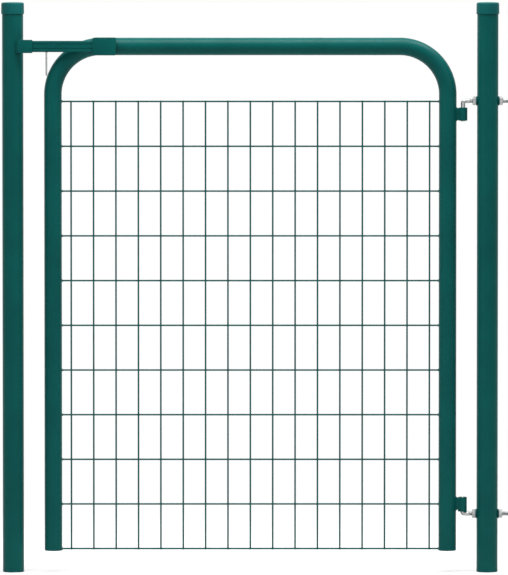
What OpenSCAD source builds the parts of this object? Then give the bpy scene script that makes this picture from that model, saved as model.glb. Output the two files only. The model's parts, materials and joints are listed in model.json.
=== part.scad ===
// Metal garden gate: a leaf of bent tube filled with welded wire mesh, hung between two
// round posts on bolted pin hinges and closed by a sliding bar behind a keeper.
// X runs along the gate from the latch post to the hinge post, Y from front to back, Z up.
// The origin is the centre of the hinge post's foot. Lengths are in millimetres.

/* [Leaf] */
// Width of the leaf over its two legs
leaf_w = 935; // [640:1:1600]
// Height of the leaf from the foot of its legs to the top of its rail
leaf_h = 1165; // [760:1:1900]
// Outside diameter of the frame tube
frame_d = 40; // [30:0.5:48]
// Wall of the frame tube
frame_wall = 1.5; // [1:0.1:3]
// Radius of the tube's axis where a leg bends into the rail
bend_r = 109; // [70:1:160]
// Space under the legs
ground_gap = 48.5; // [20:0.5:120]
// Space between the leaf and the latch post
latch_gap = 47; // [44:0.5:60]

/* [Mesh] */
// Diameter of the mesh wire
wire_d = 3.8; // [2.5:0.1:5]
// Distance between the upright wires
mesh_pitch_x = 50.8; // [40:0.1:80]
// Distance between the level wires
mesh_pitch_z = 101.6; // [40:0.1:120]
// Least space between a leg and the first upright wire
mesh_side_gap = 20; // [10:1:60]
// Height of the lowest wire above the foot of the legs
mesh_foot = 4.4; // [4.2:0.1:30]
// Least straight leg left above the highest wire
mesh_head_gap = 10; // [5:1:60]
// How far two wires melt into each other where they cross
weld_sink = 0.6; // [0.3:0.1:0.8]

/* [Posts] */
// Outside diameter of a post
post_d = 48; // [38:0.5:60]
// Wall of a post
post_wall = 2; // [1.5:0.1:4]
// Height of a post, with its cap, above the rail's top
post_rise = 80.5; // [40:0.5:200]
// Height of a post cap
cap_h = 27; // [15:0.5:45]
// Side wall of a post cap
cap_wall = 1.9; // [1.5:0.1:3]
// Thickness of a post cap's top
cap_top = 3; // [2.5:0.1:5]
// Radius of a post cap's upper edge
cap_round = 4; // [1:0.1:4.3]

/* [Plugs] */
// Thickness of the flange that closes a post's foot
post_plug_flange = 4; // [3:0.1:8]
// Thickness of the flange that closes a leg's foot
leg_plug_flange = 2.6; // [2.2:0.1:3]
// Radius of a flange's lower edge
plug_round = 2; // [0.5:0.1:2]
// Length of a plug inside its tube
plug_depth = 14; // [8:1:30]
// Wall of a plug inside its tube
plug_wall = 2; // [1.5:0.1:4]

/* [Hinges] */
// Distance from the hinge post's axis to the hinge axis
hinge_reach = 56; // [50:0.5:80]
// Outside diameter of a hinge eye
eye_d = 20; // [17:0.5:24]
// Height of a hinge eye
eye_h = 30; // [20:0.5:45]
// Free length of the neck between a leg and its hinge eye
neck_gap = 4.5; // [3:0.5:12]
// Width of the neck from front to back
neck_w = 14; // [8:0.5:16]
// How far the neck is lower than its eye at each end
neck_step = 1; // [0.5:0.5:5]
// Distance from the rail's top down to the upper eye
upper_eye_drop = 158.3; // [110:0.1:260]
// Distance from the foot of the legs up to the lower eye
lower_eye_rise = 92; // [60:0.5:200]
// Diameter of a hinge bolt
bolt_d = 10; // [8:0.5:12]
// Radius left inside the bend of a hinge bolt
bolt_bend_inner = 0.5; // [0.3:0.1:2]
// How far a hinge pin stands out past its eye
pin_past = 1.5; // [0:0.5:10]
// How far a hinge bolt stands out behind its post
bolt_tail = 31; // [14:0.5:60]
// Height that the leaf can be lifted before the upper bolt stops it
lift_play = 10; // [3:0.5:15]
// Distance across the flats of a nut
nut_af = 17; // [16:0.5:20]
// Thickness of a nut
nut_h = 8; // [6:0.5:10]
// Outside diameter of a washer
washer_d = 21; // [18:0.5:26]
// Thickness of a washer
washer_t = 2.5; // [1.5:0.1:3]

/* [Latch] */
// Height of the latch bar
bar_h = 25.5; // [16:0.5:30]
// Thickness of the latch bar
bar_t = 8; // [5:0.5:12]
// Length of the latch bar
bar_l = 204.5; // [200:0.5:260]
// Distance from the latch post to the bar's end
bar_end_gap = 5.5; // [5:0.1:9]
// Distance from the rail's front to the latch bar
bar_standoff = 3; // [2:0.5:8]
// Length of the latch housing
case_l = 52; // [40:1:80]
// Height of the latch housing
case_h = 39; // [36:0.5:40]
// Thickness of the latch housing's plates
case_wall = 2.5; // [1.5:0.1:3]
// Distance from the leaf's middle plane to the back of the housing's plates
case_stop = 5; // [4.5:0.5:8]
// Diameter of the pull rod under the latch bar
pull_d = 4; // [3:0.5:5]
// Length of the pull rod
pull_l = 53.5; // [30:0.5:80]
// Distance from the latch bar's end to the pull rod
pull_inset = 47.7; // [46:0.1:52]
// Height of the keeper
keeper_h = 30; // [20:0.5:36]
// Length of the keeper's plate
keeper_l = 39; // [34:0.5:42]
// Thickness of the keeper's plate
keeper_t = 4; // [3:0.5:6]
// Length of the block that holds the keeper's plate off the post
keeper_block_l = 12; // [8:0.5:13]
// Distance from the latch post's axis to the near end of the keeper
keeper_inset = 6.8; // [5:0.1:8]

/* [Clearances] */
// Gap that a weld bridges between a piece and the tube it sits on
weld_gap = 0.1; // [0.05:0.05:0.3]
// Gap around a plug or under a cap
push_gap = 0.1; // [0.05:0.05:0.3]
// Gap between a hinge pin and its eye, all round
pin_gap = 0.25; // [0.1:0.05:0.5]
// Gap between the lower eye and the washer that carries it
seat_gap = 0.3; // [0.1:0.05:0.5]
// Gap between a hinge bolt and its nuts and washers, all round
thread_gap = 0.1; // [0.05:0.05:0.3]
// Gap between a hinge bolt and its hole in the post, all round
hole_gap = 0.5; // [0.2:0.1:1]
// Gap on each side of the latch bar in its housing and at its keeper
bar_gap = 0.5; // [0.2:0.1:1]

/* [Hidden] */
$fn = 64;

green = "#03534e";
zinc = "#b4b6b5";
over = 1; // how far a cutting shape runs past the piece it cuts

hinge_x = -hinge_reach;
hinge_leg_x = hinge_x - eye_d / 2 - neck_gap - frame_d / 2;
latch_leg_x = hinge_leg_x - (leaf_w - frame_d);
latch_post_x = latch_leg_x - frame_d / 2 - latch_gap - post_d / 2;

leaf_top = ground_gap + leaf_h;
rail_z = leaf_top - frame_d / 2;
bend_z = rail_z - bend_r;
leg_foot = ground_gap + leg_plug_flange;
post_h = leaf_top + post_rise;

mesh_w = leaf_w - 2 * frame_d;
mesh_cols = floor((mesh_w - 2 * mesh_side_gap) / mesh_pitch_x) + 1;
mesh_low = ground_gap + mesh_foot;
mesh_rows = floor((bend_z - mesh_head_gap - mesh_low) / mesh_pitch_z) + 1;
mesh_high = mesh_low + (mesh_rows - 1) * mesh_pitch_z;
mesh_mid_x = (hinge_leg_x + latch_leg_x) / 2;
wire_sides = 8;
wire_flat = wire_d * cos(180 / wire_sides); // distance across the flats of an eight-sided wire

upper_eye_z = leaf_top - upper_eye_drop - eye_h;
lower_eye_z = ground_gap + lower_eye_rise;
upper_bolt_z = upper_eye_z + eye_h + lift_play + bolt_d / 2;
lower_bolt_z = lower_eye_z - seat_gap - washer_t - bolt_d / 2;
upper_pin_l = lift_play + bolt_d / 2 + eye_h + pin_past;
lower_pin_l = bolt_d / 2 + washer_t + seat_gap + eye_h + pin_past;
bolt_bend_r = bolt_d / 2 + bolt_bend_inner;
bolt_end_x = post_d / 2 + bolt_tail;

bar_x = latch_post_x + post_d / 2 + bar_end_gap;
bar_back = -frame_d / 2 - bar_standoff;
bar_front = bar_back - bar_t;
case_x = bar_x + bar_l - case_l;
case_front = bar_front - bar_gap - case_wall;
case_back = -case_stop;
keeper_x = latch_post_x + keeper_inset;
keeper_back = bar_front - bar_gap;

// A rod that rises along one leg, bends into the rail and comes down the other leg.
module arch(d, foot) {
  for (leg_x = [hinge_leg_x, latch_leg_x])
    translate([leg_x, 0, foot]) cylinder(h = bend_z - foot, d = d);
  translate([hinge_leg_x - bend_r, 0, bend_z]) bend(d);
  translate([latch_leg_x + bend_r, 0, bend_z]) mirror([1, 0, 0]) bend(d);
  translate([latch_leg_x + bend_r, 0, rail_z]) rotate([0, 90, 0])
    cylinder(h = leaf_w - frame_d - 2 * bend_r, d = d);
}

// A quarter turn in the plane of the leaf, from pointing up at +X to level at the top.
module bend(d) {
  rotate([90, 0, 0]) rotate_extrude(angle = 90) translate([bend_r, 0]) circle(d = d);
}

// A round disc whose lower edge is rounded.
module rounded_disc(d, h, r) {
  rotate_extrude() {
    square([d / 2 - r, h]);
    translate([0, r]) square([d / 2, h - r]);
    intersection() {
      translate([d / 2 - r, r]) circle(r = r);
      square([d / 2, r]);
    }
  }
}

// A plug for the open end of a tube: a rounded flange and a hollow spigot.
module tube_plug(tube_d, wall, flange) {
  spigot_d = tube_d - 2 * wall - 2 * push_gap;
  rounded_disc(tube_d, flange, plug_round);
  translate([0, 0, flange]) difference() {
    cylinder(h = plug_depth, d = spigot_d);
    cylinder(h = plug_depth + over, d = spigot_d - 2 * plug_wall);
  }
}

// A post's tube, standing on its plug and reaching into its cap.
module post_tube() {
  translate([0, 0, post_plug_flange]) difference() {
    cylinder(h = post_h - cap_top - post_plug_flange, d = post_d);
    translate([0, 0, -over]) cylinder(h = post_h + over, d = post_d - 2 * post_wall);
  }
}

module post_cap() {
  cap_d = post_d + 2 * push_gap + 2 * cap_wall;
  translate([0, 0, post_h]) mirror([0, 0, 1]) difference() {
    rounded_disc(cap_d, cap_h, cap_round);
    translate([0, 0, cap_top]) cylinder(h = cap_h, d = post_d + 2 * push_gap);
  }
}

// A round hole or rod along X, from x = 0.
module along_x(h, d) {
  rotate([0, 90, 0]) cylinder(h = h, d = d);
}

// A threaded rod along +X whose near end turns up into a pin on the hinge axis.
module pin_bolt(pin_l) {
  translate([bolt_bend_r, 0, 0]) along_x(bolt_end_x - hinge_x - bolt_bend_r, bolt_d);
  translate([bolt_bend_r, 0, bolt_bend_r]) rotate([90, 180, 0])
    rotate_extrude(angle = 90) translate([bolt_bend_r, 0]) circle(d = bolt_d);
  translate([0, 0, bolt_bend_r]) cylinder(h = pin_l - bolt_bend_r, d = bolt_d);
}

// A washer whose near face is at x = 0.
module washer() {
  rotate([0, 90, 0]) difference() {
    cylinder(h = washer_t, d = washer_d);
    translate([0, 0, -over]) cylinder(h = washer_t + 2 * over, d = bolt_d + 2 * thread_gap);
  }
}

// A hexagon nut whose near face is at x = 0.
module nut() {
  rotate([0, 90, 0]) difference() {
    cylinder(h = nut_h, d = nut_af / cos(30), $fn = 6);
    translate([0, 0, -over]) cylinder(h = nut_h + 2 * over, d = bolt_d + 2 * thread_gap);
  }
}

// An eye on the hinge axis with the neck that joins it to the leg.
module hinge_eye() {
  difference() {
    union() {
      translate([hinge_x, 0, 0]) cylinder(h = eye_h, d = eye_d);
      translate([hinge_leg_x, -neck_w / 2, neck_step])
        cube([hinge_x - hinge_leg_x, neck_w, eye_h - 2 * neck_step]);
    }
    translate([hinge_x, 0, -over]) cylinder(h = eye_h + 2 * over, d = bolt_d + 2 * pin_gap);
    translate([hinge_leg_x, 0, -over]) cylinder(h = eye_h + 2 * over, d = frame_d + 2 * weld_gap);
  }
}

module hinge_post() {
  color(green) difference() {
    post_tube();
    for (z = [upper_bolt_z, lower_bolt_z])
      translate([-post_d, 0, z]) along_x(2 * post_d, bolt_d + 2 * hole_gap);
  }
}

module hinge_post_cap() {
  color(green) post_cap();
}

module hinge_post_plug() {
  color(green) tube_plug(post_d, post_wall, post_plug_flange);
}

module latch_post() {
  color(green) translate([latch_post_x, 0, 0]) post_tube();
}

module latch_post_cap() {
  color(green) translate([latch_post_x, 0, 0]) post_cap();
}

module latch_post_plug() {
  color(green) translate([latch_post_x, 0, 0]) tube_plug(post_d, post_wall, post_plug_flange);
}

// A plate in front of the bar's end, on a block welded to the post, open towards the back.
module latch_keeper() {
  color(green) translate([keeper_x, 0, rail_z - keeper_h / 2]) difference() {
    union() {
      translate([0, keeper_back - keeper_t, 0]) cube([keeper_l, keeper_t, keeper_h]);
      translate([0, keeper_back, 0]) cube([keeper_block_l, -keeper_back, keeper_h]);
    }
    translate([-keeper_inset, 0, -over]) cylinder(h = keeper_h + 2 * over, d = post_d + 2 * weld_gap);
  }
}

module upper_hinge_bolt() {
  color(zinc) translate([hinge_x, 0, upper_bolt_z]) mirror([0, 0, 1]) pin_bolt(upper_pin_l);
}

module lower_hinge_bolt() {
  color(zinc) translate([hinge_x, 0, lower_bolt_z]) pin_bolt(lower_pin_l);
}

// Places a washer or nut on the side of the post that faces the leaf.
module inner_side(offset, z) {
  translate([-post_d / 2 - offset, 0, z]) mirror([1, 0, 0]) children();
}

// Places a washer or nut on the side of the post that faces away from the leaf.
module outer_side(offset, z) {
  translate([post_d / 2 + offset, 0, z]) children();
}

module upper_inner_washer() {
  color(zinc) inner_side(0, upper_bolt_z) washer();
}

module upper_inner_nut() {
  color(zinc) inner_side(washer_t, upper_bolt_z) nut();
}

module upper_outer_washer() {
  color(zinc) outer_side(0, upper_bolt_z) washer();
}

module upper_outer_nut() {
  color(zinc) outer_side(washer_t, upper_bolt_z) nut();
}

module lower_inner_washer() {
  color(zinc) inner_side(0, lower_bolt_z) washer();
}

module lower_inner_nut() {
  color(zinc) inner_side(washer_t, lower_bolt_z) nut();
}

module lower_outer_washer() {
  color(zinc) outer_side(0, lower_bolt_z) washer();
}

module lower_outer_nut() {
  color(zinc) outer_side(washer_t, lower_bolt_z) nut();
}

// The washer on the lower pin, which carries the leaf.
module lower_pin_washer() {
  color(zinc) translate([hinge_x, 0, lower_bolt_z + bolt_d / 2]) difference() {
    cylinder(h = washer_t, d = washer_d);
    translate([0, 0, -over]) cylinder(h = washer_t + 2 * over, d = bolt_d + 2 * pin_gap);
  }
}

module gate_frame() {
  color(green) difference() {
    arch(frame_d, leg_foot);
    arch(frame_d - 2 * frame_wall, leg_foot - over);
  }
}

module hinge_leg_plug() {
  color(green) translate([hinge_leg_x, 0, ground_gap]) tube_plug(frame_d, frame_wall, leg_plug_flange);
}

module latch_leg_plug() {
  color(green) translate([latch_leg_x, 0, ground_gap]) tube_plug(frame_d, frame_wall, leg_plug_flange);
}

// An eight-sided wire along Z with a flat face towards each neighbour.
module wire(l) {
  rotate([0, 0, 180 / wire_sides]) cylinder(h = l, d = wire_d, $fn = wire_sides);
}

// Level wires butt against the legs, and the upright wires are welded to their front.
module wire_mesh() {
  level_l = mesh_w - 2 * weld_gap;
  color(green) union() {
    for (row = [0 : mesh_rows - 1])
      translate([mesh_mid_x - level_l / 2, 0, mesh_low + row * mesh_pitch_z])
        rotate([0, 90, 0]) wire(level_l);
    for (col = [0 : mesh_cols - 1])
      translate([mesh_mid_x + (col - (mesh_cols - 1) / 2) * mesh_pitch_x,
                 weld_sink - wire_flat, mesh_low - wire_d / 2])
        wire(mesh_high - mesh_low + wire_d);
  }
}

module upper_hinge_eye() {
  color(green) translate([0, 0, upper_eye_z]) hinge_eye();
}

module lower_hinge_eye() {
  color(green) translate([0, 0, lower_eye_z]) hinge_eye();
}

// A case around the bar: front plate, top and bottom plates, and slotted ends shaped to the tube.
module latch_housing() {
  color(green) difference() {
    translate([case_x, case_front, rail_z - case_h / 2]) cube([case_l, case_back - case_front, case_h]);
    translate([case_x + case_wall, case_front + case_wall, rail_z - case_h / 2 + case_wall])
      cube([case_l - 2 * case_wall, -case_front, case_h - 2 * case_wall]);
    translate([case_x - over, bar_front - bar_gap, rail_z - bar_h / 2 - bar_gap])
      cube([case_l + 2 * over, bar_t + 2 * bar_gap, bar_h + 2 * bar_gap]);
    arch(frame_d + 2 * weld_gap, leg_foot);
  }
}

module latch_bar() {
  color(green) translate([bar_x, bar_front, rail_z - bar_h / 2]) cube([bar_l, bar_t, bar_h]);
}

module latch_pull() {
  color(green) translate([bar_x + pull_inset, (bar_front + bar_back) / 2, rail_z - bar_h / 2 - pull_l])
    cylinder(h = pull_l, d = pull_d);
}

hinge_post();
hinge_post_cap();
hinge_post_plug();
latch_post();
latch_post_cap();
latch_post_plug();
latch_keeper();
upper_hinge_bolt();
upper_inner_nut();
upper_outer_nut();
upper_inner_washer();
upper_outer_washer();
lower_hinge_bolt();
lower_inner_nut();
lower_outer_nut();
lower_inner_washer();
lower_outer_washer();
lower_pin_washer();
gate_frame();
hinge_leg_plug();
latch_leg_plug();
wire_mesh();
upper_hinge_eye();
lower_hinge_eye();
latch_housing();
latch_bar();
latch_pull();
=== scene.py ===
import json
import math
import bmesh
import bpy
import numpy as np
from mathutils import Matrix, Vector


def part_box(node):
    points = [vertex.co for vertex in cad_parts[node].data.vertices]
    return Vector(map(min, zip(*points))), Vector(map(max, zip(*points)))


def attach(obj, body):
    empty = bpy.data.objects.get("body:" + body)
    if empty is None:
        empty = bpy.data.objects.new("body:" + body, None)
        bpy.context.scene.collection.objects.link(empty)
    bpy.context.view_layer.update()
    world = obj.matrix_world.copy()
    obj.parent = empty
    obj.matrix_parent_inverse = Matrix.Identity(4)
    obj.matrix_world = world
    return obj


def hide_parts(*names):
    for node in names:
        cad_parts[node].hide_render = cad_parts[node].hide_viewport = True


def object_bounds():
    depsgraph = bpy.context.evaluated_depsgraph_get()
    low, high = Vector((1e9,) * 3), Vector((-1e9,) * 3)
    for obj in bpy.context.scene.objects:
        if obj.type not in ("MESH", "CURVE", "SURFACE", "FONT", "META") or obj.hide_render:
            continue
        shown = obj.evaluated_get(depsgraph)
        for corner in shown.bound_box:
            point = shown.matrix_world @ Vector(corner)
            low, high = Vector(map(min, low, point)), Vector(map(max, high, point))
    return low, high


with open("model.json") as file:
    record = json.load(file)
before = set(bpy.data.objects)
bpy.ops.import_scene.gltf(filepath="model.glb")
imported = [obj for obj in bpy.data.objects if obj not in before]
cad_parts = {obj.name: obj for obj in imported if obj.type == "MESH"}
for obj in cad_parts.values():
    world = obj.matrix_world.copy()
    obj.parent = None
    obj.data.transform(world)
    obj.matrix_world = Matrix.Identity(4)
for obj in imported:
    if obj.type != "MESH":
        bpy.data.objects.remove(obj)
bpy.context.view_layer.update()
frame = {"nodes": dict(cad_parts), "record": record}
record = frame["record"]
bodyOf = {node: body for body, nodes in record["behaviour"]["bodies"].items() for node in nodes}
slotOf = {part["node"]: part["material_slot"] for part in record["subparts"]}
print("frame loaded:", len(frame["nodes"]), "nodes")

mm = 0.001
turn = 2 * math.pi
toBack = np.array([0, 1.0, 0])   # from the front of the gate to its back
toHinge = np.array([1.0, 0, 0])  # from the latch post to the hinge post
frameWall = 1.5 * mm             # walls of the two kinds of tube, shared with the plugs in their feet
postWall = 2 * mm


def corners(node):
    # the lowest and the highest corner of a CAD node's box
    low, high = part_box(node)
    return np.array(low), np.array(high)


def middle(node):
    # half the sum of the two corners
    low, high = corners(node)
    return (low + high) / 2


def pointsOf(node):
    # every vertex of a CAD node, as rows of x, y, z
    vertices = frame["nodes"][node].data.vertices
    flat = np.empty(len(vertices) * 3, np.float32)
    vertices.foreach_get("co", flat)
    return flat.reshape(-1, 3).astype(float)


def camelName(node):
    # the words of a node's name run together, each but the first with a capital
    first, *others = node.split("_")
    return first + "".join(word.capitalize() for word in others)


frameLow, frameHigh = corners("gate_frame")
wireLow, wireHigh = corners("wire_mesh")
tubeR = (frameHigh[1] - frameLow[1]) / 2
legX = [frameLow[0] + tubeR, frameHigh[0] - tubeR]  # latch leg, hinge leg
railZ = frameHigh[2] - tubeR
pinX = middle("lower_pin_washer")[0]


def ringFaces(rings, points, joined):
    # quads between each ring and the next one; the last point of a ring is next to its first
    i, j = np.meshgrid(np.arange(rings if joined else rings - 1), np.arange(points), indexing="ij")
    i, j = i.ravel(), j.ravel()
    k, m = (i + 1) % rings, (j + 1) % points
    return np.stack([i * points + j, i * points + m, k * points + m, k * points + j], axis=1)


def ringShell(rings, joined=False):
    # rings is an array (ring, point, xyz); an open stack gets a flat face on each end.
    # A shell is its vertices and a list of arrays with one face in each row
    count, points = rings.shape[:2]
    faceSets = [ringFaces(count, points, joined)]
    if not joined:
        around = np.arange(points)
        faceSets.append(np.stack([around[::-1], around + (count - 1) * points]))
    return rings.reshape(-1, 3), faceSets


def joinShells(shells):
    # the numbers in a shell's faces rise by the count of all vertices before that shell
    starts = np.cumsum([0] + [len(verts) for verts, faceSets in shells])
    allVerts = np.concatenate([verts for verts, faceSets in shells])
    allFaces = []
    for start, (verts, faceSets) in zip(starts, shells):
        for faceSet in faceSets:
            allFaces += (faceSet + start).tolist()
    return allVerts, allFaces


def line(start, end, count):
    # points at equal steps from start to end
    return np.linspace(start, end, count)


def circlePoints(radius, sides):
    # (radius * cos, radius * sin) of equal angles
    around = np.arange(sides) * turn / sides
    return np.stack([radius * np.cos(around), radius * np.sin(around)], axis=1)


def turned(profile, sides, centre):
    # a closed profile of (radius, height) points turned about the upright axis through centre
    around = np.arange(sides) * turn / sides
    spoke = np.stack([np.cos(around), np.sin(around), np.zeros(sides)], axis=1)
    rings = profile[:, None, :1] * spoke[None] + profile[:, None, 1:] * np.array([0, 0, 1.0])
    return ringShell(rings + np.asarray(centre, float), joined=True)


def carried(path, outline, side, joined=False):
    # an outline of (a, b) points carried along a path: a runs along side x path direction, b along side
    step = np.roll(path, -1, axis=0) - np.roll(path, 1, axis=0) if joined else np.gradient(path, axis=0)
    step /= np.linalg.norm(step, axis=1, keepdims=True)
    across = np.cross(np.broadcast_to(side, path.shape), step)
    across /= np.linalg.norm(across, axis=1, keepdims=True)
    level = np.cross(step, across)
    outline = np.broadcast_to(outline, (len(path),) + outline.shape[-2:])
    return path[:, None] + outline[..., :1] * across[:, None] + outline[..., 1:] * level[:, None]


def roundedCorners(points, radii, steps=5):
    # each corner becomes an arc: its centre is on the bisector at radius / sin(half the angle),
    # and the arc blends the two touching spokes by sines of the share of the sweep
    points = np.asarray(points, float)
    radii = np.broadcast_to(np.asarray(radii, float), len(points))
    back = np.roll(points, 1, axis=0) - points
    ahead = np.roll(points, -1, axis=0) - points
    back /= np.linalg.norm(back, axis=1, keepdims=True)
    ahead /= np.linalg.norm(ahead, axis=1, keepdims=True)
    half = np.arccos(np.clip((back * ahead).sum(1), -1, 1)) / 2
    bisector = (back + ahead) / np.linalg.norm(back + ahead, axis=1, keepdims=True)
    centre = points + bisector * (radii / np.sin(half))[:, None]
    reach = (radii / np.tan(half))[:, None]
    first, last = points + back * reach - centre, points + ahead * reach - centre
    sweep = (math.pi - 2 * half)[:, None]
    share = np.linspace(0, 1, steps + 1)[None]
    blend = np.sin((1 - share) * sweep)[..., None] * first[:, None]
    blend = blend + np.sin(share * sweep)[..., None] * last[:, None]
    return (blend / np.sin(sweep)[..., None] + centre[:, None]).reshape(-1, 2)


def rimmed(outline, low, high, rim, order, steps=4):
    # an outline of (a, b) points carried along c from low to high; at each end it steps inwards by
    # rim * (1 - sin) while c moves by rim * (1 - cos), so that the edge is a quarter round.
    # order says which of x, y, z are a, b and c
    after, before = np.roll(outline, -1, axis=0), np.roll(outline, 1, axis=0)
    along = after - before
    inward = np.stack([-along[:, 1], along[:, 0]], axis=1)
    inward /= np.linalg.norm(inward, axis=1, keepdims=True)
    area = (outline[:, 0] * after[:, 1] - after[:, 0] * outline[:, 1]).sum() / 2
    inward *= np.sign(area)
    bend = np.linspace(0, math.pi / 2, steps + 1)
    inset, rise = rim * (1 - np.sin(bend)), rim * (1 - np.cos(bend))
    depth = np.concatenate([inset, inset[::-1]])
    level = np.concatenate([low + rise, high - rise[::-1]])
    flat = outline[None] + inward[None] * depth[:, None, None]
    rings = np.empty(flat.shape[:2] + (3,))
    rings[..., order[0]] = flat[..., 0]
    rings[..., order[1]] = flat[..., 1]
    rings[..., order[2]] = level[:, None]
    return ringShell(rings)


def evenly(loop, step):
    # the same closed loop with its points spread at equal distances of about step
    closed = np.concatenate([loop, loop[:1]])
    length = np.concatenate([[0], np.cumsum(np.linalg.norm(np.diff(closed, axis=0), axis=1))])
    keep = np.concatenate([[True], np.diff(length) > 1e-9])  # a repeated point is left out
    at = np.linspace(0, length[-1], int(length[-1] / step), endpoint=False)
    return np.stack([np.interp(at, length[keep], closed[keep][:, axis]) for axis in range(2)], axis=1)


beadLook = {
    "sides": 10,
    "swell": 0.13,    # ripple of the radius, as a share of it
    "thinEnd": 0.02,  # the square of the share of the radius that is left at an open end
}


def bead(path, radius, ripple, side, joined=False):
    # a weld: a round string whose radius swells by a sine of the length along it, and at an open end
    # falls with the square root of the distance to that end
    gaps = np.linalg.norm(np.diff(path, axis=0), axis=1)
    length = np.concatenate([[0], np.cumsum(gaps)])
    swell = radius * (1 + beadLook["swell"] * np.sin(turn * length / ripple))
    if not joined:
        toEnd = np.minimum(length, length[-1] - length)
        swell *= np.sqrt(np.clip(toEnd / radius, beadLook["thinEnd"], 1))
    outline = circlePoints(1, beadLook["sides"])[None] * swell[:, None, None]
    return ringShell(carried(path, outline, side, joined), joined)


def settle(piece, node, replaced=True):
    # the piece rides on the body of its node, and the node is hidden when the piece replaces it
    bpy.context.scene.collection.objects.link(piece)
    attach(piece, bodyOf[node])
    if replaced:
        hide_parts(node)
    return piece


def outwardMesh(name, shells):
    # the shells in one mesh, with doubled points merged and every face turned outwards
    verts, faces = joinShells(shells)
    mesh = bpy.data.meshes.new(name)
    mesh.from_pydata(verts.tolist(), [], faces)
    shape = bmesh.new()
    shape.from_mesh(mesh)
    bmesh.ops.remove_doubles(shape, verts=shape.verts, dist=1e-7)
    bmesh.ops.recalc_face_normals(shape, faces=shape.faces)
    shape.to_mesh(mesh)
    shape.free()
    return mesh


def addPiece(name, shells, node, material, sharp=35, replaced=True):
    # a smooth piece whose edges stay hard where two faces meet at more than sharp degrees
    mesh = outwardMesh(name, shells)
    mesh.shade_smooth()
    mesh.set_sharp_from_angle(angle=math.radians(sharp))
    mesh.materials.append(material)
    return settle(bpy.data.objects.new(name, mesh), node, replaced)


def addNode(material, kind, settings=None, values=None):
    # settings are the node's own properties, values are what its inputs hold
    node = material.node_tree.nodes.new(kind)
    for key, value in (settings or {}).items():
        setattr(node, key, value)
    for key, value in (values or {}).items():
        node.inputs[key].default_value = value
    return node


def link(material, source, target):
    # what the source socket gives is what the target socket takes
    material.node_tree.links.new(source, target)


def addNoise(material, cells, detail, roughness=0.55):
    # noise with so many cells in a metre of the object's own space
    where = addNode(material, "ShaderNodeTexCoord")
    noise = addNode(material, "ShaderNodeTexNoise",
                    values={"Scale": cells, "Detail": detail, "Roughness": roughness})
    link(material, where.outputs["Object"], noise.inputs["Vector"])
    return noise.outputs["Fac"]


def addRange(material, source, low, high, fromLow=0.3, fromHigh=0.7):
    # noise stays near 0.5, so its middle part is spread over the whole range from low to high
    spread = addNode(material, "ShaderNodeMapRange",
                     values={"From Min": fromLow, "From Max": fromHigh, "To Min": low, "To Max": high})
    link(material, source, spread.inputs["Value"])
    return spread.outputs["Result"]


def addBump(material, shader, height, strength, distance):
    # height 1 stands distance above height 0
    bump = addNode(material, "ShaderNodeBump", values={"Strength": strength, "Distance": distance})
    link(material, height, bump.inputs["Height"])
    link(material, bump.outputs["Normal"], shader.inputs["Normal"])


def addTint(material, shader, source, dark, light):
    # colour = dark * (1 - source) + light * source
    mix = addNode(material, "ShaderNodeMix", settings={"data_type": "RGBA"})
    link(material, source, mix.inputs["Factor"])
    mix.inputs[6].default_value = (*dark, 1)   # the colour socket A
    mix.inputs[7].default_value = (*light, 1)  # the colour socket B
    link(material, mix.outputs[2], shader.inputs["Base Color"])


def makeFinish(name, look):
    # three noises: slow patches mix the two colours, smears move the roughness, grain lifts the surface
    material = bpy.data.materials.new(name)
    material.use_nodes = True
    shader = material.node_tree.nodes["Principled BSDF"]
    shader.inputs["Metallic"].default_value = look["metallic"]
    shader.inputs["Specular IOR Level"].default_value = look["specular"]
    patches = addRange(material, addNoise(material, *look["patches"]), 0, 1)
    addTint(material, shader, patches, look["dark"], look["light"])
    smears = addRange(material, addNoise(material, *look["smears"]), *look["gloss"])
    link(material, smears, shader.inputs["Roughness"])
    addBump(material, shader, addNoise(material, *look["grain"]), *look["relief"])
    return material


coatLook = {
    "dark": (0.0009, 0.057, 0.053),
    "light": (0.0012, 0.071, 0.064),
    "gloss": (0.30, 0.42),      # roughness from and to
    "patches": (9, 4),          # of each noise: cells in a metre and detail
    "smears": (60, 3),
    "grain": (420, 2),          # orange peel
    "relief": (0.2, 0.2 * mm),  # strength and height of the grain
    "metallic": 0.0,
    "specular": 0.07,
}
coat = makeFinish("greenCoat", coatLook)

wireCoatLook = {
    "dark": (0.0020, 0.054, 0.050),
    "light": (0.0034, 0.076, 0.070),
    "gloss": (0.32, 0.45),
    "patches": (40, 4),
    "smears": (300, 3),
    "grain": (900, 3),
    "relief": (0.2, 0.15 * mm),
    "metallic": 0.0,
    "specular": 0.14,
}
wireCoat = makeFinish("wireCoat", wireCoatLook)

plasticLook = {
    "dark": (0.0010, 0.062, 0.062),
    "light": (0.0016, 0.078, 0.076),
    "gloss": (0.42, 0.52),
    "patches": (30, 3),
    "smears": (120, 3),
    "grain": (1400, 3),
    "relief": (0.25, 0.1 * mm),
    "metallic": 0.0,
    "specular": 0.1,
}
plastic = makeFinish("greenPlastic", plasticLook)

zincLook = {
    "dark": (0.27, 0.28, 0.29),
    "light": (0.50, 0.51, 0.50),
    "gloss": (0.26, 0.42),
    "patches": (160, 4),
    "smears": (500, 3),
    "grain": (2500, 2),
    "relief": (0.15, 0.05 * mm),
    "metallic": 1.0,
    "specular": 0.5,
}
zinc = makeFinish("zincPlate", zincLook)

# the CAD nodes wear the same finishes as the pieces that replace them
finishOf = {"green_paint": coat, "green_wire": wireCoat, "green_plastic": plastic, "zinc_steel": zinc}
for node, cadObject in frame["nodes"].items():
    cadObject.data.materials.clear()
    cadObject.data.materials.append(finishOf[slotOf[node]])
print("finishes made")

tubeLook = {
    "sides": 72,
    "bendStep": 2.5,   # degrees
    "straightStep": 60 * mm,
    "lip": 0.25 * mm,  # rounding of the cut ends
}


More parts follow.
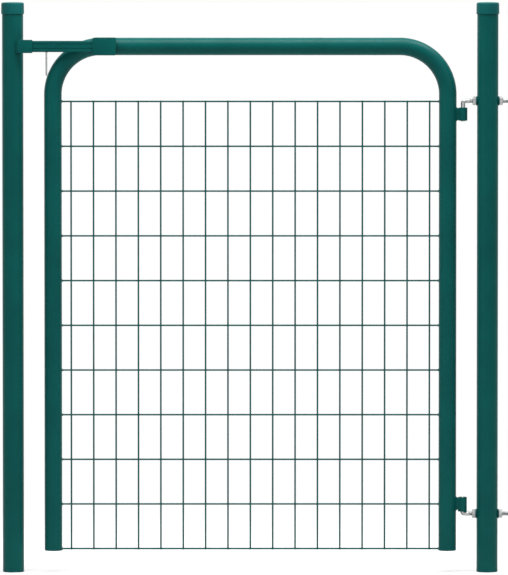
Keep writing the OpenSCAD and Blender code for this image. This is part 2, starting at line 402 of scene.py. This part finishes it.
def bendRadius():
    # the bend starts where the rail's highest line ends: read from the frame's own mesh
    points = pointsOf("gate_frame")
    ridge = points[points[:, 2] > frameHigh[2] - 0.02 * mm]
    return ridge[:, 0].min() - legX[0]


def archPath(bendR, foot):
    # up the latch leg, a quarter turn, along the rail, a quarter turn, down the hinge leg;
    # a bend is its centre plus bendR * (-cos, sin), and the other bend is its mirror image
    bendZ = railZ - bendR
    legCount = int((bendZ - foot) / tubeLook["straightStep"])
    railCount = int((legX[1] - legX[0] - 2 * bendR) / tubeLook["straightStep"])
    angle = np.radians(np.arange(0, 90 + tubeLook["bendStep"], tubeLook["bendStep"]))
    leftBend = np.stack([legX[0] + bendR - bendR * np.cos(angle), 0 * angle,
                         bendZ + bendR * np.sin(angle)], axis=1)
    rightBend = leftBend[::-1] * (-1, 1, 1) + (legX[0] + legX[1], 0, 0)
    up = line((legX[0], 0, foot), (legX[0], 0, bendZ), legCount)[:-1]
    rail = line(leftBend[-1], rightBend[0], railCount)[1:-1]
    down = line((legX[1], 0, bendZ), (legX[1], 0, foot), legCount)[1:]
    return np.concatenate([up, leftBend, rail, rightBend, down])


def tubeShell(path, radius, wall, lip, sides):
    # outer wall, lip, end ring and inner wall make one closed shell. A lip is the outer wall's end ring
    # scaled by 1 - lip / radius, and the outer wall itself stops short of it by lip
    outer = carried(path, circlePoints(radius, sides), toBack)
    inner = carried(path, circlePoints(radius - wall, sides), toBack)
    lips = []
    for end, inside in ((0, 1), (-1, -2)):
        lips.append(path[end] + (outer[end] - path[end]) * (1 - lip / radius))
        inwards = path[inside] - path[end]
        outer[end] += lip * inwards / np.linalg.norm(inwards)
    return ringShell(np.concatenate([lips[:1], outer, lips[1:], inner[::-1]]), joined=True)


arch = archPath(bendRadius(), frameLow[2])
archShell = tubeShell(arch, tubeR, frameWall, tubeLook["lip"], tubeLook["sides"])
addPiece("gateTube", [archShell], "gate_frame", coat)
print("gate tube made, bend radius", round(bendRadius() / mm, 1), "mm")

wireShape = {
    "sides": 12,
    "columns": 17,
    "rows": 11,
    "ringGap": 8.5 * mm,     # distance between the rings of one wire
    "sink": 0.35 * mm,       # how far an upright wire dips into each level wire
    "sinkReach": 2.2 * mm,   # width of that dip's bell curve
    "sinkRings": np.arange(-3, 3.5, 1) * 1.2 * mm,  # extra rings on both sides of a crossing
    "nugget": 1.28,          # weld swelling at a crossing, as a share of the wire's radius
    "nuggetDepth": 0.9,      # a nugget's depth from front to back, as a share of its width
    "footSwell": 1.75,       # weld at a leg, as a share of the wire's radius
    "footReach": 1.5 * mm,   # width of that weld's bell curve
    "footRings": np.arange(0, 5, 0.5) * mm,  # extra rings from a leg onwards
}


def columnPitch():
    # upright wires stand where the CAD mesh reaches furthest forward
    points = pointsOf("wire_mesh")
    front = np.unique(np.round(points[points[:, 1] < wireLow[1] + 0.05 * mm][:, 0], 4))
    groups = np.split(front, np.where(np.diff(front) > 10 * mm)[0] + 1)
    return (groups[-1].mean() - groups[0].mean()) / (len(groups) - 1)


def levelWires(radius, rowZ):
    # a straight string that swells into a weld at each leg, by a bell curve of the distance to it
    look = wireShape
    x = np.linspace(wireLow[0], wireHigh[0], int((wireHigh[0] - wireLow[0]) / look["ringGap"]))
    x = np.unique(np.concatenate([x, wireLow[0] + look["footRings"], wireHigh[0] - look["footRings"]]))
    toLeg = np.minimum(x - wireLow[0], wireHigh[0] - x)
    swell = radius * (1 + (look["footSwell"] - 1) * np.exp(-(toLeg / look["footReach"]) ** 2))
    outline = circlePoints(1, look["sides"])[None] * swell[:, None, None]
    return [ringShell(carried(np.stack([x, 0 * x, 0 * x + z], axis=1), outline, toBack)) for z in rowZ]


def uprightWires(radius, columnX, rowZ):
    # each wire dips towards each level wire by a bell curve of the distance to the crossing
    look = wireShape
    z = np.linspace(wireLow[2], wireHigh[2], int((wireHigh[2] - wireLow[2]) / look["ringGap"]))
    near = (rowZ[:, None] + look["sinkRings"]).ravel()
    z = np.unique(np.concatenate([z, near[(near > wireLow[2]) & (near < wireHigh[2])]]))
    toRow = np.abs(z[:, None] - rowZ[None]).min(1)
    y = wireLow[1] + radius + look["sink"] * np.exp(-(toRow / look["sinkReach"]) ** 2)
    outline = circlePoints(radius, look["sides"])
    return [ringShell(carried(np.stack([0 * z + x, y, z], axis=1), outline, toBack)) for x in columnX]


def weldNuggets(radius, columnX, rowZ):
    # a squashed ball in each crossing: cos(latitude) * (cos, sin of longitude), sin(latitude)
    look = wireShape
    lat = np.linspace(-math.pi / 2, math.pi / 2, 7)
    lon = np.arange(10) * turn / 10
    ball = np.stack([np.cos(lat)[:, None] * np.cos(lon),
                     look["nuggetDepth"] * np.cos(lat)[:, None] * np.sin(lon),
                     np.sin(lat)[:, None] + 0 * lon], axis=2)
    y = (wireLow[1] + radius) / 2
    centres = np.stack(np.meshgrid(columnX, [y], rowZ, indexing="ij"), axis=-1).reshape(-1, 3)
    return [ringShell(ball * radius * look["nugget"] + centre) for centre in centres]


def makeWireMesh():
    # level wires lie on the middle plane; a CAD wire has eight sides and a flat one at the back,
    # so its radius is its reach to the back / cos(half the angle of a side)
    radius = wireHigh[1] / math.cos(math.pi / 8)
    column = np.arange(wireShape["columns"]) - (wireShape["columns"] - 1) / 2
    columnX = middle("wire_mesh")[0] + column * columnPitch()
    rowZ = np.linspace(wireLow[2] + radius, wireHigh[2] - radius, wireShape["rows"])
    shells = levelWires(radius, rowZ) + uprightWires(radius, columnX, rowZ)
    shells += weldNuggets(radius, columnX, rowZ)
    addPiece("wireMesh", shells, "wire_mesh", wireCoat, sharp=60)


makeWireMesh()
print("wire mesh made, pitch", round(columnPitch() / mm, 1), "mm")

plugLook = {
    "sides": 72,
    "round": 2 * mm,       # of the flange's lower edge
    "wall": 2 * mm,
    "play": 0.1 * mm,      # between the spigot and the tube
    "recess": 0.5 * mm,    # the middle of the foot face is this much hollow
    "hollow": 0.55,        # width of that hollow, as a share of the plug's
    "slope": 0.6 * mm,     # width of its sloping edge
    "lead": (0.8 * mm, 1 * mm),  # width and height of the cut at the spigot's upper edge
}


def makePlug(node, tubeNode, tubeWall):
    # flange with a quarter-round lower edge, then a hollow spigot inside the tube
    look = plugLook
    low, high = corners(node)
    x, y = middle(node)[:2]
    r, tall = (high[0] - low[0]) / 2, high[2] - low[2]
    flange = corners(tubeNode)[0][2] - low[2]
    spigot = r - tubeWall - look["play"]
    bore = spigot - look["wall"]
    bend = np.linspace(0, math.pi / 2, 7)
    edge = look["round"] * np.stack([np.sin(bend) - 1, 1 - np.cos(bend)], axis=1) + (r, 0)
    hollow = look["hollow"] * r
    profile = np.concatenate([
        [(0, look["recess"]), (hollow, look["recess"]), (hollow + look["slope"], 0)], edge,
        [(r, flange), (spigot, flange), (spigot, tall - look["lead"][1]), (spigot - look["lead"][0], tall),
         (bore, tall), (bore, flange), (0, flange)]])
    addPiece(camelName(node), [turned(profile, look["sides"], (x, y, low[2]))], node, plastic)


makePlug("hinge_leg_plug", "gate_frame", frameWall)
makePlug("latch_leg_plug", "gate_frame", frameWall)
makePlug("hinge_post_plug", "hinge_post", postWall)
makePlug("latch_post_plug", "latch_post", postWall)
print("plugs made")

eyeLook = {
    "sides": 48,
    "chamfer": 0.8 * mm,     # outer edges of the sleeve
    "bore": 5.25 * mm,       # radius
    "boreCut": 0.4 * mm,     # inner edges of the sleeve
    "neckWidth": 14 * mm,
    "neckRim": 1.2 * mm,     # rounding of the neck's long edges
    "neckInset": 1 * mm,     # the neck is this much shorter than the sleeve at each end
    "neckInLeg": 1.3 * mm,   # how far the neck reaches into the leg
    "neckToPin": 6.4 * mm,   # from the neck's end, inside the sleeve, to the pin's axis
    "beadR": 1.7 * mm,
    "thinBeadR": 1.36 * mm,  # welds on the sleeve
    "ripple": 2.6 * mm,
    "beadCorner": 2.5 * mm,
    "beadStep": 0.6 * mm,
}


def makeEye(node):
    # a sleeve on the pin, a neck from it to the leg, and the three welds that join them
    look = eyeLook
    low, high = corners(node)
    r, halfNeck = high[0] - pinX, look["neckWidth"] / 2
    bore, cut, boreCut = look["bore"], look["chamfer"], look["boreCut"]
    # sleeve: a square-ended ring with chamfered edges
    profile = np.array([(bore + boreCut, low[2]), (r - cut, low[2]), (r, low[2] + cut),
                        (r, high[2] - cut), (r - cut, high[2]), (bore + boreCut, high[2]),
                        (bore, high[2] - boreCut), (bore, low[2] + boreCut)])
    shells = [turned(profile, look["sides"], (pinX, 0, 0))]
    # neck: a block from inside the leg's wall to inside the sleeve's wall
    bottom, top = low[2] + look["neckInset"], high[2] - look["neckInset"]
    square = [(-halfNeck, bottom), (halfNeck, bottom), (halfNeck, top), (-halfNeck, top)]
    neckStart, neckEnd = legX[1] + tubeR - look["neckInLeg"], pinX - look["neckToPin"]
    shells.append(rimmed(roundedCorners(square, look["neckRim"]), neckStart, neckEnd, 0.02 * mm, (1, 2, 0)))
    # weld round the neck on the leg: a rounded box in y and z, laid on the tube by x = sqrt(R * R - y * y)
    loop = evenly(roundedCorners(square, look["beadCorner"], 6), look["beadStep"])
    path = np.stack([legX[1] + np.sqrt(tubeR ** 2 - loop[:, 0] ** 2), loop[:, 0], loop[:, 1]], axis=1)
    shells.append(bead(path, look["beadR"], look["ripple"], toHinge, joined=True))
    # weld between the neck and the sleeve, on the front and on the back
    x = pinX - math.sqrt(r ** 2 - halfNeck ** 2)
    for y in (-halfNeck, halfNeck):
        upright = line((x, y, bottom + 1 * mm), (x, y, top - 1 * mm), 40)
        shells.append(bead(upright, look["thinBeadR"], look["ripple"], toBack))
    addPiece(camelName(node), shells, node, coat, sharp=40)


makeEye("upper_hinge_eye")
makeEye("lower_hinge_eye")
print("hinge eyes made")

caseLook = {
    "edge": 0.7 * mm,
    "edgeSteps": 3,
    "beadR": 1.4 * mm,
    "ripple": 2.4 * mm,
    "beadInset": (3 * mm, 1 * mm),  # from the case's two ends to the weld's
    "beadSink": 0.3 * mm,           # into the rail
    "beadLift": 0.5 * mm,           # towards the rail's middle line
}


def softCopy(node, material, edge, steps):
    # the CAD shape with its flat faces joined and its edges rounded
    mesh = frame["nodes"][node].data.copy()
    mesh.name = camelName(node)
    shape = bmesh.new()
    shape.from_mesh(mesh)
    bmesh.ops.remove_doubles(shape, verts=shape.verts, dist=1e-6)
    bmesh.ops.dissolve_limit(shape, angle_limit=math.radians(1), verts=shape.verts, edges=shape.edges)
    shape.to_mesh(mesh)
    shape.free()
    mesh.materials.clear()
    mesh.materials.append(material)
    mesh.shade_smooth()
    piece = bpy.data.objects.new(camelName(node), mesh)
    bevel = piece.modifiers.new("softEdge", "BEVEL")
    bevel.width = edge
    bevel.segments = steps
    bevel.limit_method = "ANGLE"
    bevel.angle_limit = math.radians(40)
    bevel.harden_normals = True
    settle(piece, node)


def makeHousing():
    # the softened case, and two welds along its upper and lower edge as a piece of their own
    look = caseLook
    softCopy("latch_housing", coat, look["edge"], look["edgeSteps"])
    low, high = corners("latch_housing")
    start, end = low[0] + look["beadInset"][0], high[0] - look["beadInset"][1]
    shells = []
    for z in (low[2], high[2]):
        # the weld runs where the case meets the rail: y = -sqrt(R * R - dz * dz) at the height of the edge
        y = look["beadSink"] - math.sqrt(max(tubeR ** 2 - (z - railZ) ** 2, 0))
        path = line((start, y, z), (end, y, z), 120)
        path[:, 2] += np.sign(railZ - z) * look["beadLift"]
        shells.append(bead(path, look["beadR"], look["ripple"], toBack))
    addPiece("latchHousingWelds", shells, "latch_housing", coat, sharp=60, replaced=False)


makeHousing()
print("latch housing made")

barLook = {
    "edge": 1.5 * mm,
    "groove": 1.6 * mm,      # width of each long groove in the face
    "grooveDepth": 1.1 * mm,
    "grooveGap": 5.2 * mm,   # from the bar's middle to a groove's middle
    "grooveEdge": 0.25 * mm,
    "rim": 0.24 * mm,        # rounding of the two ends
}


def makeBar():
    # the outline in y and z, front face first: each groove is a trough whose floor is half as wide
    look = barLook
    low, high = corners("latch_bar")
    front, back = low[1], high[1]
    half, depth = look["groove"] / 2, look["grooveDepth"]
    trough = np.array([(0, -half), (depth, -half / 2), (depth, half / 2), (0, half)])
    z = middle("latch_bar")[2]
    lowGroove = trough + (front, z - look["grooveGap"])
    highGroove = trough + (front, z + look["grooveGap"])
    face = np.concatenate([[(front, low[2])], lowGroove, highGroove,
                           [(front, high[2]), (back, high[2]), (back, low[2])]])
    radii = [look["edge"]] + [look["grooveEdge"]] * 8 + [look["edge"]] * 3
    outline = roundedCorners(face, radii, 4)
    shell = rimmed(outline, low[0], high[0], look["rim"], (1, 2, 0))
    addPiece("latchBar", [shell], "latch_bar", coat, sharp=40)


pullLook = {
    "sides": 24,
    "collar": 1.5 * mm,      # width of the weld under the bar
    "collarTall": 3 * mm,
}


def makePull():
    # a rod with a half-round tip and a weld that flares by the third power of the height
    look = pullLook
    low, high = corners("latch_pull")
    x, y = middle("latch_pull")[:2]
    r = (high[0] - low[0]) / 2
    bend = np.linspace(0, math.pi / 2, 7)
    tip = np.stack([r * np.sin(bend), low[2] + r - r * np.cos(bend)], axis=1)
    up = np.linspace(0, 1, 7)
    collar = np.stack([r + look["collar"] * up ** 3, high[2] - look["collarTall"] * (1 - up)], axis=1)
    profile = np.concatenate([tip, collar, [(0, high[2])]])
    addPiece("latchPull", [turned(profile, look["sides"], (x, y, 0))], "latch_pull", zinc)


makeBar()
makePull()
print("latch made")

postLook = {
    "sides": 96,
    "ringGap": 40 * mm,
    "lip": 0.25 * mm,
    "hole": 5.5 * mm,        # radius
    "drill": 50 * mm,        # how far the drill reaches on both sides of the post's axis
}


def boltLine(node):
    # height and radius of a hinge bolt's level rod; its bent end reaches up on the lower bolt
    low, high = corners(node)
    r = (high[1] - low[1]) / 2
    return (high[2] - r, r) if node.startswith("upper") else (low[2] + r, r)


def drillThrough(post, centre, heights):
    # a level round bar is cut out of the post at each height
    reach = line(centre - toHinge * postLook["drill"], centre + toHinge * postLook["drill"], 2)
    outline = circlePoints(postLook["hole"], 32)
    shells = [ringShell(carried(reach * (1, 1, 0) + (0, 0, z), outline, toBack)) for z in heights]
    drill = bpy.data.objects.new("drills", outwardMesh("drills", shells))
    bpy.context.scene.collection.objects.link(drill)
    cut = post.modifiers.new("cut", "BOOLEAN")
    cut.operation = "DIFFERENCE"
    cut.solver = "EXACT"
    cut.object = drill
    bpy.context.view_layer.update()
    shown = bpy.data.meshes.new_from_object(post.evaluated_get(bpy.context.evaluated_depsgraph_get()))
    post.modifiers.clear()
    post.data = shown
    post.data.set_sharp_from_angle(angle=math.radians(35))
    bpy.data.objects.remove(drill)


def makePost(node, holes=()):
    # a straight tube from the node's foot to its top, drilled at the heights in holes
    look = postLook
    low, high = corners(node)
    x, y, z = middle(node)
    path = line((x, y, low[2]), (x, y, high[2]), int((high[2] - low[2]) / look["ringGap"]))
    shell = tubeShell(path, (high[0] - low[0]) / 2, postWall, look["lip"], look["sides"])
    post = addPiece(camelName(node), [shell], node, coat)
    if holes:
        drillThrough(post, np.array([x, y, z]), holes)


makePost("hinge_post", [boltLine(node)[0] for node in ("upper_hinge_bolt", "lower_hinge_bolt")])
makePost("latch_post")
print("posts made")

capLook = {
    "sides": 96,
    "wall": 1.9 * mm,
    "top": 3 * mm,
    "round": 4 * mm,
    "crown": 0.8 * mm,       # the top rises by this much from its rim to its middle
    "draft": 0.25 * mm,      # the skirt is this much narrower under the rounding than at its foot
    "cut": (0.4 * mm, 0.5 * mm),  # outer and inner edge of the foot
}


def makeCap(node):
    # skirt, quarter round of cos and sin, a top that falls with the square of the radius, then the inside
    look = capLook
    low, high = corners(node)
    x, y = middle(node)[:2]
    r = (high[0] - low[0]) / 2
    inner, ceiling = r - look["wall"], high[2] - look["top"]
    outerCut, innerCut = look["cut"]
    top = high[2] - look["crown"]
    bend = np.linspace(0, math.pi / 2, 9)
    edge = np.stack([r - look["draft"] - look["round"] * (1 - np.cos(bend)),
                     top - look["round"] * (1 - np.sin(bend))], axis=1)
    share = np.linspace(1, 0, 8)[1:]
    dome = np.stack([edge[-1][0] * share, top + look["crown"] * (1 - share ** 2)], axis=1)
    profile = np.concatenate([
        [(inner + innerCut, low[2]), (r - outerCut, low[2]), (r, low[2] + outerCut)], edge, dome,
        [(0, ceiling), (inner, ceiling), (inner, low[2] + innerCut)]])
    addPiece(camelName(node), [turned(profile, look["sides"], (x, y, 0))], node, plastic)


makeCap("hinge_post_cap")
makeCap("latch_post_cap")
print("caps made")

keeperLook = {
    "rim": 0.4 * mm,         # rounding of the upper and lower edges
    "edge": 1.2 * mm,        # rounding of the plate's upright edges
    "backEdge": 0.6 * mm,    # rounding where the plate leaves the block
    "plate": 4 * mm,
    "block": 12 * mm,
    "play": 0.1 * mm,        # between the block and the post
    "beadR": 1.8 * mm,
    "ripple": 2.8 * mm,
    "beadInset": 1.5 * mm,
}


def makeKeeper():
    # plan of the keeper: plate in front, block behind its near end, hollowed to the post's round by
    # y = -sqrt(R * R - dx * dx)
    look = keeperLook
    low, high = corners("latch_keeper")
    postLow, postHigh = corners("latch_post")
    postX = middle("latch_post")[0]
    postR = (postHigh[0] - postLow[0]) / 2 + look["play"]
    near, far = low[0], low[0] + look["block"]
    back = low[1] + look["plate"]
    arcX = np.linspace(far, near, 9)
    arc = np.stack([arcX, -np.sqrt(postR ** 2 - (arcX - postX) ** 2)], axis=1)
    plate = roundedCorners([(near, low[1]), (high[0], low[1]), (high[0], back), (far, back)],
                           [look["edge"], look["edge"], look["edge"], look["backEdge"]], 4)
    shells = [rimmed(np.concatenate([plate, arc]), low[2], high[2], look["rim"], (0, 1, 2))]
    bottom, top = low[2] + look["beadInset"], high[2] - look["beadInset"]
    for x, y in (arc[-1], arc[0]):
        shells.append(bead(line((x, y, bottom), (x, y, top), 60), look["beadR"], look["ripple"], toBack))
    addPiece("latchKeeper", shells, "latch_keeper", coat, sharp=40)


makeKeeper()
print("keeper made")

boltLook = {
    "sides": 24,
    "bend": 5.5 * mm,        # radius of the axis where the rod turns into the pin
    "pitch": 1.5 * mm,
    "depth": 0.85 * mm,      # thread depth
    "plain": 14 * mm,        # unthreaded length from the hinge axis
    "stepsPerTurn": 6,
    "tipCut": 1 * mm,        # how much narrower both ends of the bolt are
    "tipRings": (0.35 * mm, 1.0 * mm),  # from the pin's end to its next two rings
}


def makeBolt(node):
    # the pin leads to the bend, a quarter turn leads into the level rod, and past the plain part
    # radius = crest - depth * (triangle wave of length / pitch + angle / full turn), faded in over a turn
    look = boltLook
    low, high = corners(node)
    rodZ, r = boltLine(node)
    way = -1 if node.startswith("upper") else 1  # the upper pin points down
    tipZ = low[2] if way < 0 else high[2]
    bend, cut, end = look["bend"], look["tipCut"], high[0]
    angle = np.radians(np.arange(0, 91, 7.5))
    pin = line((pinX, 0, tipZ), (pinX, 0, rodZ + way * bend), 8)
    pin[1:3, 2] = tipZ - way * np.array(look["tipRings"])
    quarter = np.stack([pinX + bend - bend * np.cos(angle), 0 * angle,
                        rodZ + way * (bend - bend * np.sin(angle))], axis=1)
    threadStart = pinX + look["plain"]
    plain = line((pinX + bend, 0, rodZ), (threadStart, 0, rodZ), 4)
    count = int((end - threadStart) / look["pitch"] * look["stepsPerTurn"])
    threaded = line((threadStart, 0, rodZ), (end, 0, rodZ), count)
    path = np.concatenate([pin[:-1], quarter, plain[1:-1], threaded])
    x, ring = path[:, 0], np.arange(len(path))
    inThread = np.clip((x - threadStart) / look["pitch"], 0, 1) * (ring >= len(path) - count)
    share = np.arange(look["sides"]) / look["sides"]
    phase = (x[:, None] - threadStart) / look["pitch"] + share[None]
    wave = np.abs((phase % 1) * 2 - 1)
    radius = r - look["depth"] * wave * inThread[:, None]
    fromTip = np.minimum(ring, 3) / 3  # the first three rings widen in equal steps
    radius *= (1 - cut / r * (1 - fromTip))[:, None]
    toEnd = np.clip((end - x) / cut, 0, 1)[:, None]
    cone = r - look["depth"] + look["depth"] * toEnd
    radius = np.where(inThread[:, None] > 0, np.minimum(radius, cone), radius)
    outline = circlePoints(1, look["sides"])[None] * radius[..., None]
    addPiece(camelName(node), [ringShell(carried(path, outline, toBack))], node, zinc, sharp=50)


nutLook = {
    "sides": 96,
    "chamferStart": 0.95,    # radius of the end faces, as a share of half the distance across the flats
    "slope": math.tan(math.radians(30)),
    "chamferTall": 1.6 * mm,
    "bore": 4.7 * mm,
    "mouth": 5.4 * mm,       # radius of the bore at both faces
    "mouthDeep": 0.7 * mm,
}


def makeNut(node):
    # radius = the smaller of a hexagon's edge distance and a cone that opens away from each end face
    look = nutLook
    low, high = corners(node)
    y, z = middle(node)[1:]
    half = (high - low)[1:].min() / 2  # half the distance across the flats
    length = high[0] - low[0]
    around = np.arange(look["sides"]) * turn / look["sides"]
    hexagon = half / np.cos(around % (math.pi / 3) - math.pi / 6)
    rise = np.linspace(0, look["chamferTall"], 9)
    levels = np.concatenate([rise, length - rise[::-1]])
    cone = half * look["chamferStart"] + np.minimum(levels, length - levels) / look["slope"]
    outer = np.minimum(hexagon[None], cone[:, None])
    bore = np.array([look["mouth"], look["bore"], look["bore"], look["mouth"]])[:, None] + 0 * around[None]
    radius = np.concatenate([outer, bore])
    x = low[0] + np.concatenate([levels, [length, length - look["mouthDeep"], look["mouthDeep"], 0]])
    rings = np.stack([x[:, None] + 0 * radius, radius * np.sin(around) + y,
                      radius * np.cos(around) + z], axis=2)
    addPiece(camelName(node), [ringShell(rings, joined=True)], node, zinc, sharp=25)


washerLook = {"sides": 64, "bore": 5.2 * mm, "edge": 0.35 * mm}


def makeWasher(node):
    # a flat ring with rounded edges, turned about its short axis
    look = washerLook
    low, high = corners(node)
    size = high - low
    r, bore, half = size.max() / 2, look["bore"], size.min() / 2
    profile = roundedCorners([(bore, -half), (r, -half), (r, half), (bore, half)], look["edge"], 3)
    verts, faceSets = turned(profile, look["sides"], (0, 0, 0))
    if np.argmin(size) == 0:
        verts = verts[:, [2, 1, 0]]
    addPiece(camelName(node), [(verts + middle(node), faceSets)], node, plastic, sharp=50)


for level in ("upper", "lower"):
    makeBolt(f"{level}_hinge_bolt")
for level in ("upper", "lower"):
    for place in ("inner", "outer"):
        makeNut(f"{level}_{place}_nut")
        makeWasher(f"{level}_{place}_washer")
makeWasher("lower_pin_washer")
print("hinge bolts made")

gateMid = np.array(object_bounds()).mean(axis=0)

stageLook = {
    "ambient": 0.28,
    "floorReach": 40,
    "floorColour": (0.86, 0.86, 0.86, 1),
    "floorGlow": 0.55,        # share of plain white in what the camera sees of the floor by the gate
    "floorFade": (0.9, 2.6),  # distances from the gate's middle between which the floor turns plain white
}


def rayMask(material, paths):
    # the largest of the named ray marks: 1 for rays of these kinds, 0 for all others
    light = addNode(material, "ShaderNodeLightPath")
    total = light.outputs[paths[0]]
    for path in paths[1:]:
        larger = addNode(material, "ShaderNodeMath", settings={"operation": "MAXIMUM"})
        link(material, total, larger.inputs[0])
        link(material, light.outputs[path], larger.inputs[1])
        total = larger.outputs[0]
    return total


def makeWorld():
    # strength = 1 for rays that show the backdrop, directly or in a piece, and the ambient level for others
    world = bpy.data.worlds.new("studio")
    world.use_nodes = True
    bpy.context.scene.world = world
    back = world.node_tree.nodes["Background"]
    back.inputs["Color"].default_value = (1, 1, 1, 1)
    shown = rayMask(world, ("Is Camera Ray", "Is Glossy Ray", "Is Transmission Ray"))
    strength = addRange(world, shown, stageLook["ambient"], 1, fromLow=0, fromHigh=1)
    link(world, strength, back.inputs["Strength"])


def makeFloor():
    # matte * (1 - share) + white * share, where the share grows with the distance from the gate's middle
    # and is 0 for rays that light the gate
    reach = stageLook["floorReach"]
    mesh = bpy.data.meshes.new("floor")
    square = [(-reach, -reach, 0), (reach, -reach, 0), (reach, reach, 0), (-reach, reach, 0)]
    mesh.from_pydata(square, [], [(0, 1, 2, 3)])
    floor = bpy.data.objects.new("floor", mesh)
    bpy.context.scene.collection.objects.link(floor)
    material = bpy.data.materials.new("floorWhite")
    material.use_nodes = True
    material.node_tree.nodes.clear()
    where = addNode(material, "ShaderNodeTexCoord")
    offset = addNode(material, "ShaderNodeVectorMath", settings={"operation": "DISTANCE"},
                     values={1: (float(gateMid[0]), float(gateMid[1]), 0)})
    link(material, where.outputs["Object"], offset.inputs[0])
    near, far = stageLook["floorFade"]
    fade = addNode(material, "ShaderNodeMapRange", settings={"interpolation_type": "SMOOTHSTEP"},
                   values={"From Min": near, "From Max": far, "To Min": stageLook["floorGlow"], "To Max": 1})
    link(material, offset.outputs["Value"], fade.inputs["Value"])
    share = addNode(material, "ShaderNodeMath", settings={"operation": "MULTIPLY"})
    link(material, rayMask(material, ("Is Camera Ray", "Is Glossy Ray")), share.inputs[0])
    link(material, fade.outputs["Result"], share.inputs[1])
    matte = addNode(material, "ShaderNodeBsdfDiffuse", values={"Color": stageLook["floorColour"]})
    glow = addNode(material, "ShaderNodeEmission", values={"Color": (1, 1, 1, 1), "Strength": 1})
    mix = addNode(material, "ShaderNodeMixShader")
    link(material, share.outputs[0], mix.inputs[0])
    link(material, matte.outputs[0], mix.inputs[1])
    link(material, glow.outputs[0], mix.inputs[2])
    surface = addNode(material, "ShaderNodeOutputMaterial")
    link(material, mix.outputs[0], surface.inputs["Surface"])
    mesh.materials.append(material)


def aimed(direction):
    # a lamp and a camera both look along their own -Z
    return Vector(direction).to_track_quat("-Z", "Y").to_euler()


lampLook = {  # place from the foot of the gate's middle, height it aims at, width and height, watts
    "topLamp": ((0.2, -0.5, 3.3), 0.8, (4.0, 1.4), 205),
    "keyLamp": ((3.0, -3.2, 2.6), 0.7, (2.2, 2.2), 18),
    "fillLamp": ((-3.2, -2.8, 1.6), 0.7, (2.0, 2.0), 7),
    "backLamp": ((-0.8, 3.4, 2.4), 0.7, (2.4, 2.0), 28),
}


def makeLamp(name, place, aimZ, size, power):
    # a rectangle of light that faces the gate's middle line at the height aimZ
    data = bpy.data.lights.new(name, "AREA")
    data.shape = "RECTANGLE"
    data.size, data.size_y = size
    data.energy = power
    lamp = bpy.data.objects.new(name, data)
    bpy.context.scene.collection.objects.link(lamp)
    lamp.location = np.array(place) + (gateMid[0], 0, 0)
    lamp.rotation_euler = aimed(np.array([0, 0, aimZ]) - place)


cameraLook = {
    "distance": 14.0,
    "height": 1.25,
    "aim": (-0.5297, 0.6468),  # x and z of the point that is in the middle of the view
    "tall": 1.3049,            # height of the view at the gate, in metres
}


def makeCamera():
    # lens = sensor * distance / height of the view, because the sensor's width is the view's long side
    look = cameraLook
    data = bpy.data.cameras.new("camera")
    camera = bpy.data.objects.new("camera", data)
    bpy.context.scene.collection.objects.link(camera)
    x, z = look["aim"]
    camera.location = (x, -look["distance"], look["height"])
    direction = np.array([0, look["distance"], z - look["height"]])
    camera.rotation_euler = aimed(direction)
    data.sensor_width = 36
    data.lens = 36 * np.linalg.norm(direction) / look["tall"]
    data.clip_end = 100
    bpy.context.scene.camera = camera


makeWorld()
makeFloor()
for name, settings in lampLook.items():
    makeLamp(name, *settings)
makeCamera()
bpy.context.scene.view_settings.view_transform = "Standard"
print("stage made")
